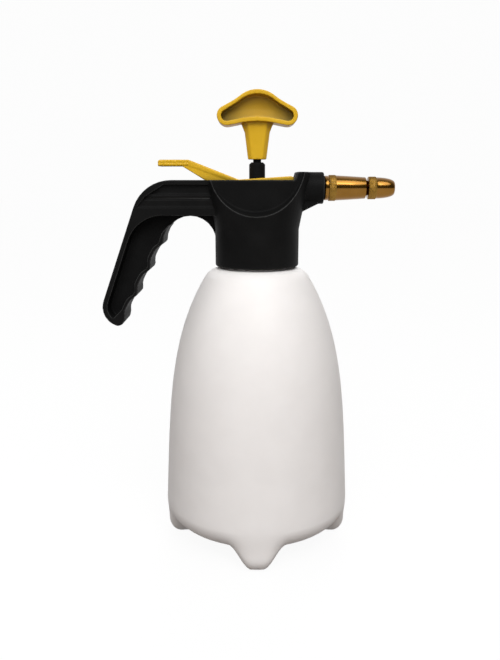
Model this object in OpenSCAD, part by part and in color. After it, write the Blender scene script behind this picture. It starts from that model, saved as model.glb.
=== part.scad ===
// One-hand pump pressure sprayer: tank on four feet, screw-on head with a finger grip,
// piston pump under a T handle, thumb lever, spring-closed valve and a turning spray tip.
// Millimetres, +Z up, +X towards the nozzle, origin on the floor under the tank's axis.

/* [Bottle] */
// Largest radius of the tank
body_r = 68.5; // [62:0.5:76]
// How far the wall draws in on a straight taper
body_taper = 7.9; // [5:0.1:10]
// Height of the shoulder's upper edge
shoulder_z = 199; // [185:1:215]
// Radius that rounds the shoulder into the neck
shoulder_round = 13.6; // [11:0.1:15]
// Lean of the wall where the shoulder's rounding starts, degrees
shoulder_a = 31.5; // [28:0.5:35]
// Width of the flat ledge round the neck
ledge_w = 1.1; // [0.5:0.1:2]
// Wall thickness of the tank
bottle_wall = 1.6; // [1.2:0.1:2.2]
// Height of the tank's underside between the feet
base_z = 15; // [12:0.5:18]
// Radius between wall and underside
base_fillet = 16.5; // [14:0.5:22]
// Rise of the underside at the centre
base_dome = 7; // [4:0.5:9]
// Radius of one foot
foot_r = 14.5; // [12:0.5:16]
// Radius of a foot's flat bottom
foot_flat_r = 4.2; // [3:0.1:6]
// Number of feet
foot_count = 4; // [4:1:6]

/* [Neck] */
// Wall thickness of the neck
neck_wall = 2.1; // [1.8:0.1:2.4]
// Height of the neck above the shoulder ledge
neck_h = 24.5; // [22:0.5:28]
// Rise of the thread in one turn
thread_pitch = 4; // [3.5:0.1:5]
// Turns of thread on neck and collar
thread_turns = 1.5; // [1:0.25:2]
// Height of a thread ridge above its wall
thread_h = 1.4; // [1.1:0.1:1.5]
// Width of a thread ridge at its root
thread_w = 1.5; // [1.2:0.1:1.6]

/* [Head] */
// Wall thickness of the screw collar
collar_wall = 3.1; // [2.5:0.1:4]
// Gap between collar and shoulder ledge
collar_lift = 1.4; // [1:0.1:4]
// Height of the rim over the deck
rim_rise = 31; // [29:0.5:34]
// Radius of the head at its rim
rim_r = 36.5; // [35:0.25:38]
// Thickness of the flat sides
side_t = 2.5; // [2:0.1:2.8]
// Depth of the U-shaped side cut under the rim
u_depth = 21.8; // [20:0.1:25]
// Radius of the U-shaped side cut
u_r = 33; // [31:0.5:36]
// Middle of the U-shaped side cut along X
u_x = -0.9; // [-2:0.1:1]
// Slope of the ledge under the side cut, degrees
u_slope = 9; // [6:1:14]
// Thickness of the deck over the neck
deck_t = 3.5; // [3:0.1:4.5]
// Thickness of the seal on the neck
neck_gasket_t = 2.5; // [2:0.1:3]
// Height of the valve block over the rim
block_h = 5.5; // [4.5:0.25:7]
// Distance of the valve block's rear face from the axis
cave_x = 24; // [23:0.25:25]

/* [Grip] */
// Half thickness of the finger grip
grip_y = 14; // [12.5:0.25:16]
// Thickness of the web between the grip's two hollows
grip_web = 3; // [2:0.5:8]
// Width of the rim round the hollow
grip_rim = 3.6; // [3:0.1:4.5]
// Lean of the grip's back, degrees from upright
grip_lean = 19.8; // [17:0.1:22]
// Distance of the grip's back from the axis at rim height
grip_back = 79; // [76:0.1:84]
// Radius between arm and grip
grip_corner = 28; // [22:0.5:30]
// Radius of the grip's lower end
grip_end_r = 4.8; // [3.5:0.1:6]
// Radius of the grip's heel, where its back turns under
heel_r = 14; // [12:0.1:16]
// Depth of the heel's centre below the rim
grip_drop = 88.8; // [84:0.1:92]
// Number of finger grooves
finger_count = 4; // [3:1:5]
// Height of the waves that form the finger grooves
finger_wave = 1.4; // [0.8:0.1:2]
// Lean of the finger waves towards the end, degrees
finger_skew = 40; // [0:5:50]
// Height of the arm over the finger arch
arm_h = 24.9; // [22:0.1:26]
// Width of the arm's upper lip
arm_lip = 3.2; // [2.5:0.1:4]
// Step between the arm's lapped bands
band_t = 1.2; // [0.8:0.1:1.4]
// Distance of the lowest band's edge from the rim
band_low = 18.7; // [17:0.1:20]
// Radius of the hollow's upper rear corner
hollow_round = 26; // [12:0.5:28]
// Radius of the arch over the first finger
arch_r = 18.2; // [16:0.2:19]

/* [Pump] */
// Travel of the pump
stroke = 80; // [60:1:95]
// Radius of the pump rod
rod_r = 5.6; // [5:0.1:6]
// Outer radius of the barrel
barrel_r = 13.1; // [12:0.1:14.5]
// Width of the barrel's flange beyond its wall
flange_w = 1.7; // [1.4:0.1:2.2]
// Wall thickness of the barrel cap
cap_wall = 1.15; // [1:0.05:1.5]
// Wall thickness of the barrel
barrel_wall = 1.9; // [1.6:0.1:2.2]
// Height of the piston
piston_h = 12; // [10:0.5:14]
// Wire radius of the piston ring
ring_r = 1; // [0.8:0.05:1.2]
// Lift of the check disc
disc_lift = 1.6; // [1:0.1:2]

/* [T handle] */
// Half length of the cross bar
bar_half = 27.6; // [25:0.1:32]
// Height of the handle from stem foot to top
handle_h = 45.7; // [42:0.1:50]
// Height of the stem
handle_stem_h = 22; // [20:0.5:24]
// Depth of the cross bar, front to back
bar_depth = 20; // [17:0.5:22]
// Thickness of the web between the bar's two hollows
bar_web = 3; // [2:0.25:6]
// How much shallower each hollow is at its lower lip
bar_scoop = 1.5; // [0.5:0.25:3]
// Wall round the hollow
bar_rim = 3; // [2.4:0.1:3.6]
// Half width of the stem at its foot
stem_foot = 6.4; // [5.8:0.1:7]
// Half width of the stem under the bar
stem_root = 9.5; // [8.2:0.1:9.8]
// Half depth of the stem at its foot
stem_foot_y = 5.6; // [5:0.1:6.2]
// Half depth of the stem under the bar
stem_root_y = 7; // [6.4:0.1:7.6]
// Cut across the stem's corners
stem_cut = 2; // [1:0.1:2.2]
// Flare of the stem into the bar
stem_flare = 2; // [1:0.1:2.2]
// Height of the stem's foot above the rim
handle_lift = 14; // [12:0.25:18]

/* [Lever] */
// Half width of the thumb pad
pad_y = 8.5; // [8.5:0.25:11]
// Length of the thumb pad
pad_len = 21; // [18:0.5:24]
// Reach of the pad's rear end from the axis
pad_reach = 68.5; // [66:0.5:72]
// Height of the pad's top above the rim
pad_rise = 13.7; // [12.5:0.1:14]
// Thickness of the pad
pad_t = 4.4; // [3.6:0.1:4.8]
// Run of the sloping web from the pad to the rim
web_run = 11; // [9:0.5:13]
// Depth of the lever's cheeks under the rim
cheek_drop = 8.5; // [7.5:0.25:9.5]
// Half width of the lever where it passes the rod
lever_y = 12.5; // [11.5:0.1:13]
// Half width of the opening round the rod
lever_gap_y = 8.6; // [8:0.1:9]
// Angle of a full press, degrees
press_deg = 5; // [3:0.5:5]
// Radius of the pivot pin
pin_r = 1.5; // [1.2:0.05:1.8]

/* [Valve] */
// Radius of the valve stem
stem_r = 1.5; // [1.2:0.05:1.6]
// Radius of the valve chamber
chamber_r = 4.6; // [4.2:0.1:4.8]
// Wire radius of the valve spring
wire_r = 0.35; // [0.3:0.01:0.4]
// Turns of the valve spring
spring_turns = 3.5; // [3:0.5:4]
// Radius of the liquid passages
feed_r = 1.3; // [1:0.05:1.4]

/* [Nozzle] */
// Radius of the nozzle boss
boss_r = 11; // [10:0.1:11.5]
// Distance of the boss face from the axis
boss_x = 46.5; // [45:0.25:50]
// Radius of the knurled nozzle hub
hub_r = 9; // [8.5:0.1:10]
// Length of the nozzle body from boss to tip groove
nozzle_len = 29.7; // [26:0.1:34]
// Length of the spray tip
tip_len = 18.8; // [17:0.1:21]
// Radius of the knurled band on the tip
tip_r = 7.85; // [7.5:0.05:8.4]
// Radius of the spray hole
spray_r = 0.6; // [0.4:0.05:0.8]
// Advance of the tip in one turn
tip_lead = 1.25; // [1:0.05:1.4]

/* [Dip tube] */
// Outer radius of the dip tube
tube_r = 3.2; // [2.9:0.05:3.3]
// Wall thickness of the dip tube
tube_wall = 1; // [0.8:0.05:1.1]
// Radius of the strainer
strainer_r = 4.5; // [4.2:0.1:5]
// Length of the strainer
strainer_h = 16; // [12:0.5:20]

/* [Clearances] */
// Radial running fit of seals, rod and stem
slip = 0.05; // [0.03:0.01:0.08]
// Free gap between parts that pass each other
gap = 0.5; // [0.4:0.05:0.6]

/* [Hidden] */
$fn = 48;
eps = 0.01;
far = 200;

// barrel, tube and neck, from the inside out
barrel_in = barrel_r - barrel_wall;
flange_r = barrel_r + flange_w;
tube_x = flange_r + gap + tube_r;
neck_in_r = tube_x + tube_r + 2 * gap;
neck_r = neck_in_r + neck_wall;
bore_r = neck_r + thread_h + gap;
collar_r = bore_r + collar_wall;
cap_r = barrel_r + slip + cap_wall;
cave_y = cap_r + gap;
side_y = cave_y + side_t;

// tank
curve_z = base_z + base_fillet;
wall_run = shoulder_z - curve_z;
round_r = neck_r + ledge_w;
shoulder_r = round_r + shoulder_round * cos(shoulder_a);
shoulder_drop = body_r - body_taper - shoulder_r;
round_z = shoulder_z - shoulder_round * sin(shoulder_a);
ledge_z = round_z + shoulder_round;
foot_inset = 1;
foot_ring_r = body_r - foot_r - foot_inset;
foot_z = sqrt(foot_r * foot_r - foot_flat_r * foot_flat_r);
foot_in_r = foot_r - bottle_wall;
foot_in_flat = sqrt(foot_in_r * foot_in_r - pow(foot_z - bottle_wall, 2));
dome_r = body_r - base_fillet - 8;

// heights of neck and head
neck_z = ledge_z + neck_h;
collar_z = ledge_z + collar_lift;
deck_z = neck_z + neck_gasket_t;
deck_top = deck_z + deck_t;
flare_z = deck_z + gap;
rim_z = deck_top + rim_rise;
block_z = rim_z + block_h;
flare_k = (rim_r - collar_r) / (rim_z - flare_z);
thread_root = 0.6;
thread_drop = 15;
male_z = neck_z - thread_drop;
female_z = male_z - thread_pitch / 2;

// pump
deck_hole_r = barrel_r + slip;
flange_t = 2.5;
barrel_seal_t = 1.2;
flange_z = deck_z - barrel_seal_t;
cap_h = 14.5;
cap_plate = 3;
cap_z = deck_top + cap_h;
cap_under = cap_z - cap_plate;
top_margin = 0.5;
piston_top = cap_under - top_margin - stroke;
piston_z = piston_top - piston_h;
piston_plate = 3;
knob_h = 5;
floor_gap = 3;
floor_t = 3;
floor_z = piston_z - floor_gap - floor_t;
piston_r = barrel_in - 2 * slip;
piston_ring_r = barrel_in - slip - ring_r;
ring_z = piston_z + piston_h / 2;
neck_rod_r = rod_r - 2;
knob_r = rod_r - 0.8;
spigot_r = rod_r / 2;
rod_bevel = 1.4;
handle_z = rim_z + handle_lift;
rod_top = handle_z - 2;
socket_h = handle_stem_h - 3;
port_r = 2.2;
disc_t = 1.6;
disc_r = 6.5;
pocket_r = disc_r + 1.5;
ring_wall = 1.9;
ring_h = disc_t + disc_lift + 1;
cage_floor = 2.4;
cage_h = ring_h + 2 * cage_floor + 4 * slip;
cage_in = pocket_r + ring_wall + slip;

// valve, along X at the height of the boss
valve_z = block_z - boss_r;
pin_x = cave_x - 2;
pin_z = rim_z - 15;
pin_half = cave_y + 1;
oring_r = 0.95;
oring_x = cave_x + 0.8;
pocket_x = oring_x + 2 * oring_r + 2 * slip;
seat_t = 1;
seat_r = chamber_r - slip;
spring_x = pocket_x + seat_t;
spring_len = 5.2;
head_x = spring_x + spring_len;
head_t = 1.4;
stem_head_r = chamber_r - 1.2;
seal_x = head_x + head_t;
seal_t = 1.6;
nozzle_x = seal_x + seal_t + slip;
coil_r = stem_r + wire_r + 0.75;
yoke_x = cave_x - 8.3;
yoke_t = 2.5;
tail_x = yoke_x - 0.3;
tail_t = 2.2;
tail_r = stem_r + 1.7;
feed_z = deck_top + 7;
feed_x = spring_x + 1.6;
riser_y = feed_r + 2.4;

// nozzle stations along X
washer_t = 0.5;
hub_x = boss_x + washer_t;
hub_step = 0.6;
knurl_x = hub_x + 3;
knurl_len = 5.2;
groove_x = boss_x + nozzle_len;
tip_x = groove_x + tip_lead + 0.3;
spray_x = tip_x + tip_len;
thread_r = chamber_r + 1.35;
front_r = 5;
core_r = 2.45;
nose_r = hub_r - 1.5;
jet_r = 1.6;
front_x = groove_x + 11.3;
core_x = front_x - 5.5;
core_nose = 4.6;
tip_seal_r = 0.75;
tip_seal_x = tip_x + 3.2;
tip_bore = front_r + 2 * slip;
tip_cone_x = front_x + 2;
tip_jet_x = front_x + core_nose + 2.5;
tip_band = 5.8;

// dip tube
tube_in = tube_r - tube_wall;
nipple_r = tube_in - slip;
nipple_h = 13.5;
nipple_z = deck_z - nipple_h;
tube_top = deck_z - 1.5;
tube_grip = 9;
strainer_floor = 1.2;
strainer_z = base_z + base_dome + bottle_wall + 2;
tube_z = strainer_z + strainer_h - tube_grip;

// lever, seen from the side
flange_y = 8.5;
web_y = flange_y - 0.4;
flange_h = 2.4;
pad_x1 = -pad_reach + pad_len;
pad_top = rim_z + pad_rise;
pad_low = pad_top - pad_t;
ring_x0 = -rod_r - 9;
ring_bar = 4;
lever_rise = 2.6;
pad_edge = 1;
ring_top = rim_z + 0.2;
cheek_z = rim_z - cheek_drop;
pin_boss = pin_r + 3;
web_end = ring_x0 + ring_bar / 2;
web_a = [pad_x1 - pad_t, pad_low];
web_b = [pad_x1 + web_run, rim_z];
web_c = [ring_x0 - ring_bar / 2, cheek_z];
flange_a = [pad_x1 - ring_bar / 2, pad_top - flange_h * 1.25];
flange_b = [web_end, ring_top - flange_h];

// Sub-part to draw, or all of them

function arc(cx, cz, r, a0, a1, n) =
  [for (i = [0 : n]) [cx + r * cos(a0 + (a1 - a0) * i / n), cz + r * sin(a0 + (a1 - a0) * i / n)]];
function flip(pts) = [for (i = [len(pts) - 1 : -1 : 0]) [-pts[i][0], pts[i][1]]];

// Revolve a (radius, position) outline about X, or extrude an (x, z) outline along Y.
module turn_x(pts) {
  rotate([90, 0, 90]) rotate_extrude() polygon(pts);
}
module slab(pts, half) {
  rotate([90, 0, 0]) linear_extrude(2 * half, center = true) polygon(pts);
}
module bar_x(x0, x1, r, z) {
  translate([x0, 0, z]) rotate([0, 90, 0]) cylinder(r = r, h = x1 - x0);
}
module bar_y(x, z, r, half) {
  translate([x, half, z]) rotate([90, 0, 0]) cylinder(r = r, h = 2 * half);
}
module ring(r0, r1, z0, z1) {
  difference() {
    translate([0, 0, z0]) cylinder(r = r1, h = z1 - z0);
    translate([0, 0, z0 - 1]) cylinder(r = r0, h = z1 - z0 + 2);
  }
}

// A thread ridge: root at r0, crest at r1, its middle starting at height z0.
module ridge(r0, r1, z0) {
  steps = round(thread_turns * 24);
  half = thread_w / 2;
  crest = thread_w * 0.3;
  rib = [[r0, -half], [r1, -crest], [r1, crest], [r0, half]];
  pts = [for (i = [0 : steps], p = rib) let (a = i * 15)
    [p[0] * cos(a), p[0] * sin(a), z0 + p[1] + thread_pitch * i / 24]];
  inward = r1 < r0;
  sides = [for (i = [0 : steps - 1], k = [0 : 3]) let (p = 4 * i + k, q = 4 * i + (k + 1) % 4)
    each [[p, q, q + 4], [p, q + 4, p + 4]]];
  last = 4 * steps;
  ends = [[0, 2, 1], [0, 3, 2], [last, last + 1, last + 2], [last, last + 2, last + 3]];
  faces = concat(sides, ends);
  polyhedron(pts, inward ? [for (f = faces) [f[2], f[1], f[0]]] : faces);
}

// Tank wall, set in from the outside by w along its normal.
function wall_pt(t, w) =
  let (z = curve_z + wall_run * t,
    r = body_r - body_taper * t - shoulder_drop * pow(t, 4),
    s = (body_taper + 4 * shoulder_drop * pow(t, 3)) / wall_run,
    n = sqrt(1 + s * s))
  [r - w / n, z - w * s / n];
function tank_pts(w, neck) = concat(
  [for (i = [0 : 4]) let (u = i / 4) [dome_r * u, base_z + w + base_dome * (1 - u * u)]],
  arc(body_r - base_fillet, curve_z, base_fillet - w, -90, 0, 9),
  [for (i = [1 : 16]) wall_pt(i / 16, w)],
  arc(round_r, round_z, shoulder_round - w, shoulder_a + 6, 90, 6),
  [[neck, ledge_z - w]]);
function foot_pts(w, flat) = concat(
  [[0, w], [flat, w]],
  arc(0, foot_z, foot_r - w, -acos(flat / (foot_r - w)), 0, 8),
  [[foot_r - w, curve_z], [0, curve_z]]);

module feet(w, flat) {
  for (i = [0 : foot_count - 1])
    rotate(i * 360 / foot_count)
      translate([foot_ring_r, 0, 0])
        rotate_extrude() polygon(foot_pts(w, flat));
}

module bottle() {
  color("white")
    union() {
      difference() {
        union() {
          rotate_extrude() polygon(concat(tank_pts(0, neck_r), [[neck_r, neck_z], [0, neck_z]]));
          feet(0, foot_flat_r);
        }
        rotate_extrude()
          polygon(concat(tank_pts(bottle_wall, neck_in_r), [[neck_in_r, neck_z + 1], [0, neck_z + 1]]));
        feet(bottle_wall, foot_in_flat);
      }
      ridge(neck_r - thread_root, neck_r + thread_h, male_z);
    }
}

module neck_gasket() {
  color("dimgray") ring(neck_in_r - gap / 2, bore_r - gap, neck_z, deck_z);
}

// Outline of arm and grip, seen from the side.
lean_c = cos(grip_lean);
corner_cut = grip_corner * tan((90 - grip_lean) / 2);
corner_cx = -grip_back + corner_cut;
heel_z = rim_z - grip_drop;
heel_x = -grip_back - tan(grip_lean) * grip_drop + heel_r / lean_c;
heel_a = 248;
grip_end_x = heel_x + (heel_r - grip_end_r) * cos(heel_a);
grip_end_z = heel_z + (heel_r - grip_end_r) * sin(heel_a);
arch_x = -collar_r - arch_r + 0.6;
arch_z = rim_z - arm_h - arch_r;
end_a = -5;
front_0 = [grip_end_x + grip_end_r * cos(end_a), grip_end_z + grip_end_r * sin(end_a)];
front_1 = [arch_x - arch_r, arch_z];
front_len = norm(front_1 - front_0);
front_n = [(front_1[1] - front_0[1]) / front_len, -(front_1[0] - front_0[0]) / front_len];
front_steps = finger_count * 8;
function finger_pt(u, set) =
  let (a = 360 * (finger_count - 1) * u)
  front_0 + (front_1 - front_0) * u
  + front_n * (finger_wave * (cos(a + finger_skew * sin(a)) - 1) - set);
function grip_pts() = concat(
  [[-10, rim_z]],
  arc(corner_cx, rim_z - grip_corner, grip_corner, 90, 180 - grip_lean, 8),
  arc(heel_x, heel_z, heel_r, 180 - grip_lean, heel_a, 8),
  arc(grip_end_x, grip_end_z, grip_end_r, heel_a, 360 + end_a, 8),
  [for (i = [1 : front_steps - 1]) finger_pt(i / front_steps, 0)],
  arc(arch_x, arch_z, arch_r, 180, 0, 12),
  [[-10, arch_z]]);

// Outline of the deep hollow in each side of the grip; it runs out over the finger arch to the collar.
hollow_top = rim_z - arm_h + 0.8;
hollow_z = hollow_top - hollow_round;
hollow_x = -grip_back - tan(grip_lean) * (rim_z - hollow_z) + (grip_rim + hollow_round) / lean_c;
function arch_pt(a, set) = [arch_x + (arch_r + set) * cos(a), arch_z + (arch_r + set) * sin(a)];
function hollow_pts() = concat(
  arc(hollow_x, hollow_z, hollow_round, 90, 180 - grip_lean, 8),
  arc(heel_x, heel_z, heel_r - grip_rim, 180 - grip_lean, 230, 6),
  [for (i = [3 : front_steps - 1]) finger_pt(i / front_steps, grip_rim * 0.7)],
  [arch_pt(160, grip_rim * 0.6), arch_pt(140, grip_rim * 0.2), arch_pt(125, -1), [arch_x, arch_z],
    [-10, arch_z - 1], [-10, hollow_top]]);

// Recess in the arm's side, and its floor: two lapped bands that step outwards going down.
function band_pts() = [[-10, rim_z - arm_lip], [corner_cx - grip_corner * 0.18, rim_z - arm_lip],
  [corner_cx - grip_corner * 0.65, rim_z - arm_h * 0.46], [corner_cx - grip_corner * 0.86, rim_z - band_low],
  [-10, rim_z - band_low]];
band_step = [[far, rim_z - arm_lip], [grip_y - 2 * band_t, rim_z - arm_lip],
  [grip_y - 2 * band_t, rim_z - arm_h * 0.37], [grip_y - band_t, rim_z - arm_h * 0.4],
  [grip_y - band_t, rim_z - arm_h * 0.47], [grip_y - 2 * band_t, rim_z - arm_h * 0.48],
  [grip_y - 2 * band_t, rim_z - arm_h * 0.52], [grip_y - band_t, rim_z - arm_h * 0.53],
  [grip_y - band_t, rim_z - band_low + band_t / 2], [grip_y, rim_z - band_low], [far, rim_z - band_low]];
module arm_recess() {
  intersection() {
    slab(band_pts(), far);
    rotate([90, 0, 90])
      translate([0, 0, -150])
        linear_extrude(150) polygon(band_step);
  }
}

module grip() {
  difference() {
    slab(grip_pts(), grip_y);
    arm_recess();
    mirror([0, 1, 0]) arm_recess();
    for (s = [-1, 1])
      translate([0, s * grip_y, 0]) slab(hollow_pts(), grip_y - grip_web / 2);
  }
}

// The U-shaped side cut: a cone along Y, so that its ledge falls away outwards.
module side_cut() {
  run = 25;
  translate([u_x, -side_y, rim_z - u_depth + u_r])
    rotate([90, 0, 0]) cylinder(r1 = u_r, r2 = u_r + run * tan(u_slope), h = run);
}

module head_shell() {
  edge = 1.2;
  rotate_extrude()
    polygon(concat([[0, collar_z]],
      arc(collar_r - edge, collar_z + edge, edge, -90, 0, 4),
      [[collar_r, flare_z], [rim_r, rim_z], [0, rim_z]]));
}

// Raised block over the rim in front, with a sloped rear edge, and the round nozzle boss.
module valve_block() {
  intersection() {
    translate([0, 0, rim_z]) cylinder(r1 = rim_r, r2 = rim_r + block_h * flare_k, h = block_h);
    slab([[cave_x + 2, rim_z], [cave_x + 3.4, block_z], [far, block_z], [far, rim_z]], rim_r);
  }
  bar_x(cave_x + 4, boss_x, boss_r, valve_z);
  slab([[cave_x + 4, flare_z + 5], [collar_r + 1.5, rim_z - 22], [boss_x - 2, valve_z - boss_r + 1],
    [boss_x - 2, valve_z], [cave_x + 4, valve_z]], boss_r * 0.55);
}

// A point of the lever after a full press.
function pressed(p) =
  let (d = p - [pin_x, pin_z])
  [pin_x + d[0] * cos(press_deg) - d[1] * sin(press_deg),
   pin_z + d[0] * sin(press_deg) + d[1] * cos(press_deg)];

module lever_room() {
  // between the flat sides
  intersection() {
    translate([0, 0, deck_top])
      cylinder(r1 = collar_r - 2.2, r2 = rim_r - 2.5 + 10 * flare_k, h = rim_z - deck_top + 10);
    translate([-60, -cave_y, deck_top]) cube([60 + cave_x, 2 * cave_y, far]);
  }
  // beside the valve stem, for the lever's cheeks
  for (s = [-1, 1])
    translate([cave_x - 1, s * (lever_y + lever_gap_y) / 2 - (lever_y - lever_gap_y) / 2 - gap, pin_z - 6])
      cube([5, lever_y - lever_gap_y + 2 * gap, far]);
  // slots in the arm for the lever's web and flange, as deep as a full press needs
  room = 3 * gap;
  slab([[pressed(web_a)[0] - room, rim_z + room], pressed(web_a) - [room, room],
    pressed(web_b) - [0, room], [ring_x0 - 6, pressed(web_c)[1] - room], [ring_x0 - 6, rim_z + room]],
    web_y + 2 * gap);
  slab([[ring_x0 - 28, rim_z + room], [ring_x0 - 28, rim_z - room],
    [ring_x0 - 6, pressed(flange_b)[1] - room], [ring_x0 - 6, rim_z + room]], flange_y + 2 * gap);
}

module feed_ways() {
  translate([tube_x, 0, nipple_z - 1]) cylinder(r = feed_r, h = feed_z - nipple_z + 1);
  bar_x(tube_x - feed_r, feed_x + feed_r, feed_r, feed_z);
  translate([feed_x, 0, feed_z]) cylinder(r = feed_r, h = valve_z - feed_z);
}

module head_housing() {
  color([0.12, 0.12, 0.12])
    union() {
      difference() {
        union() {
          difference() {
            union() {
              head_shell();
              grip();
              valve_block();
            }
            side_cut();
            mirror([0, 1, 0]) side_cut();
            translate([0, 0, collar_z - 1]) cylinder(r = bore_r, h = deck_z - collar_z + 1);
            lever_room();
          }
          translate([tube_x, 0, nipple_z]) cylinder(r = nipple_r, h = deck_z - nipple_z + 1);
          translate([cap_r + gap, -riser_y, deck_top - 1])
            cube([cave_x - cap_r, 2 * riser_y, feed_z + feed_r + 2 - deck_top]);
        }
        translate([0, 0, deck_z - 1]) cylinder(r = deck_hole_r, h = deck_t + 2);
        feed_ways();
        bar_x(cave_x - 1, cave_x + 2, stem_r + slip, valve_z);
        bar_x(oring_x, pocket_x + eps, stem_r + 2 * oring_r + 2 * slip, valve_z);
        bar_x(pocket_x, nozzle_x, chamber_r, valve_z);
        bar_x(nozzle_x - eps, boss_x + 1, thread_r + slip, valve_z);
        bar_y(pin_x, pin_z, pin_r + slip, pin_half + slip);
      }
      ridge(bore_r + thread_root, bore_r - thread_h, female_z);
    }
}

module pump_barrel() {
  color([0.82, 0.82, 0.8])
    difference() {
      union() {
        translate([0, 0, floor_z]) cylinder(r = barrel_r, h = cap_under - floor_z - top_margin / 2);
        translate([0, 0, flange_z - flange_t]) cylinder(r = flange_r, h = flange_t);
        ring(pocket_r, pocket_r + ring_wall, floor_z - ring_h, floor_z + eps);
      }
      translate([0, 0, floor_z + floor_t]) cylinder(r = barrel_in, h = far);
      translate([0, 0, floor_z - 1]) cylinder(r = port_r, h = floor_t + 2);
    }
}

module barrel_gasket() {
  color("dimgray") ring(barrel_r + slip, flange_r, flange_z, deck_z);
}

module barrel_cap() {
  color([0.2, 0.2, 0.2])
    difference() {
      translate([0, 0, deck_top]) cylinder(r = cap_r, h = cap_z - deck_top);
      translate([0, 0, deck_top - 1]) cylinder(r = barrel_r + slip, h = cap_under - deck_top + 1);
      translate([0, 0, cap_under - 1]) cylinder(r = rod_r + slip, h = cap_plate + 2);
    }
}

module piston() {
  color([0.85, 0.85, 0.82])
    difference() {
      translate([0, 0, piston_z]) cylinder(r = piston_r, h = piston_h);
      translate([0, 0, piston_z - 1]) cylinder(r = knob_r + slip, h = piston_h - piston_plate + 1);
      translate([0, 0, piston_z]) cylinder(r = neck_rod_r + slip, h = piston_h + 1);
      ring(piston_ring_r - ring_r - slip, piston_r + 1, ring_z - ring_r - slip, ring_z + ring_r + slip);
    }
}

module piston_oring() {
  color([0.1, 0.1, 0.1])
    translate([0, 0, ring_z]) rotate_extrude() translate([piston_ring_r, 0]) circle(r = ring_r);
}

module pump_rod() {
  knob_z = piston_z + piston_h - piston_plate - slip;
  color([0.14, 0.14, 0.14])
    rotate_extrude()
      polygon([[0, knob_z - knob_h], [knob_r, knob_z - knob_h], [knob_r, knob_z], [neck_rod_r, knob_z],
        [neck_rod_r, piston_top + slip], [rod_r, piston_top + slip], [rod_r, rod_top - rod_bevel],
        [rod_r - rod_bevel, rod_top], [spigot_r, rod_top], [spigot_r, handle_z + socket_h - 1],
        [0, handle_z + socket_h - 1]]);
}

// Cross bar outline from the crown to the middle of the underside, for one half.
under_z = handle_z + handle_stem_h;
crown_z = handle_z + handle_h;
bar_h = handle_h - handle_stem_h;
function bar_pts(w) = concat(
  [for (i = [0 : 6]) let (u = i / 6) [bar_half * 0.45 * u, crown_z - w - bar_h * 0.19 * pow(u, 2.2)]],
  [[bar_half * 0.57, crown_z - bar_h * 0.285 - w], [bar_half * 0.7, crown_z - bar_h * 0.368 - w]],
  arc(bar_half * 0.76, under_z + bar_h * 0.285, bar_half * 0.24 - w, 72, -95, 10),
  [[bar_half * 0.32, under_z + bar_h * 0.1 + w], [0, under_z + bar_h * 0.13 + w]]);

// The scooped hollow in the bar's front: deep under the crown, shallower at the lower lip.
module bar_dish() {
  deep = -bar_web / 2;
  intersection() {
    slab(concat(bar_pts(bar_rim), flip(bar_pts(bar_rim))), bar_depth);
    rotate([90, 0, 90])
      linear_extrude(3 * bar_half, center = true)
        polygon([[-bar_depth, under_z], [deep - bar_scoop, under_z], [deep, crown_z - bar_h / 2],
          [deep, crown_z], [-bar_depth, crown_z]]);
  }
}
// Stem between rod and bar: it widens upwards, its corners are cut, and it flares into the bar.
module handle_stem() {
  top = under_z + bar_rim;
  corner_foot = (stem_foot + stem_foot_y) / sqrt(2) - stem_cut;
  corner_root = (stem_root + stem_root_y) / sqrt(2) - stem_cut;
  intersection() {
    slab([[-stem_foot, handle_z], [stem_foot, handle_z], [stem_root, top], [-stem_root, top]],
      stem_root_y);
    rotate([90, 0, 90])
      linear_extrude(4 * stem_root, center = true)
        polygon([[-stem_foot_y, handle_z], [stem_foot_y, handle_z], [stem_root_y, top],
          [-stem_root_y, top]]);
    stem_corners(45, corner_foot, corner_root, top);
    stem_corners(-45, corner_foot, corner_root, top);
  }
  flare_low = under_z - 2 * stem_flare;
  flare_foot = stem_foot + (stem_root - stem_foot) * (flare_low - handle_z) / (top - handle_z);
  flare_root = stem_root + stem_flare;
  slab([[-flare_foot, flare_low], [flare_foot, flare_low], [flare_root, top], [-flare_root, top]],
    stem_root_y - stem_cut * sqrt(2));
}
module stem_corners(a, foot, root, top) {
  rotate([0, 0, a]) slab([[-foot, handle_z], [foot, handle_z], [root, top], [-root, top]], far);
}
module pump_handle() {
  color([1, 0.78, 0.05])
    difference() {
      union() {
        difference() {
          slab(concat(bar_pts(0), flip(bar_pts(0))), bar_depth / 2);
          bar_dish();
          mirror([0, 1, 0]) bar_dish();
        }
        handle_stem();
      }
      translate([0, 0, handle_z - 1]) cylinder(r = spigot_r + slip, h = socket_h + 1);
    }
}

module check_disc() {
  color([0.1, 0.1, 0.1])
    translate([0, 0, floor_z - disc_t - slip]) cylinder(r = disc_r, h = disc_t);
}

module valve_cage() {
  vents = 4;
  vent_r = 1.6;
  post_r = 2.5;
  color([0.82, 0.82, 0.8])
    union() {
      difference() {
        translate([0, 0, floor_z - cage_h]) cylinder(r = barrel_r, h = cage_h - slip);
        translate([0, 0, floor_z - cage_h + cage_floor]) cylinder(r = cage_in, h = cage_h);
        for (i = [0 : vents - 1])
          rotate(45 + i * 360 / vents)
            translate([pocket_r - vent_r - 0.6, 0, floor_z - cage_h - 1])
              cylinder(r = vent_r, h = cage_floor + 2);
      }
      translate([0, 0, floor_z - cage_h + 1])
        cylinder(r = post_r, h = cage_h - 1 - disc_t - disc_lift - 0.2);
    }
}

module dip_tube() {
  color([0.9, 0.9, 0.88]) translate([tube_x, 0, 0]) ring(tube_in, tube_r, tube_z, tube_top);
}

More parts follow.
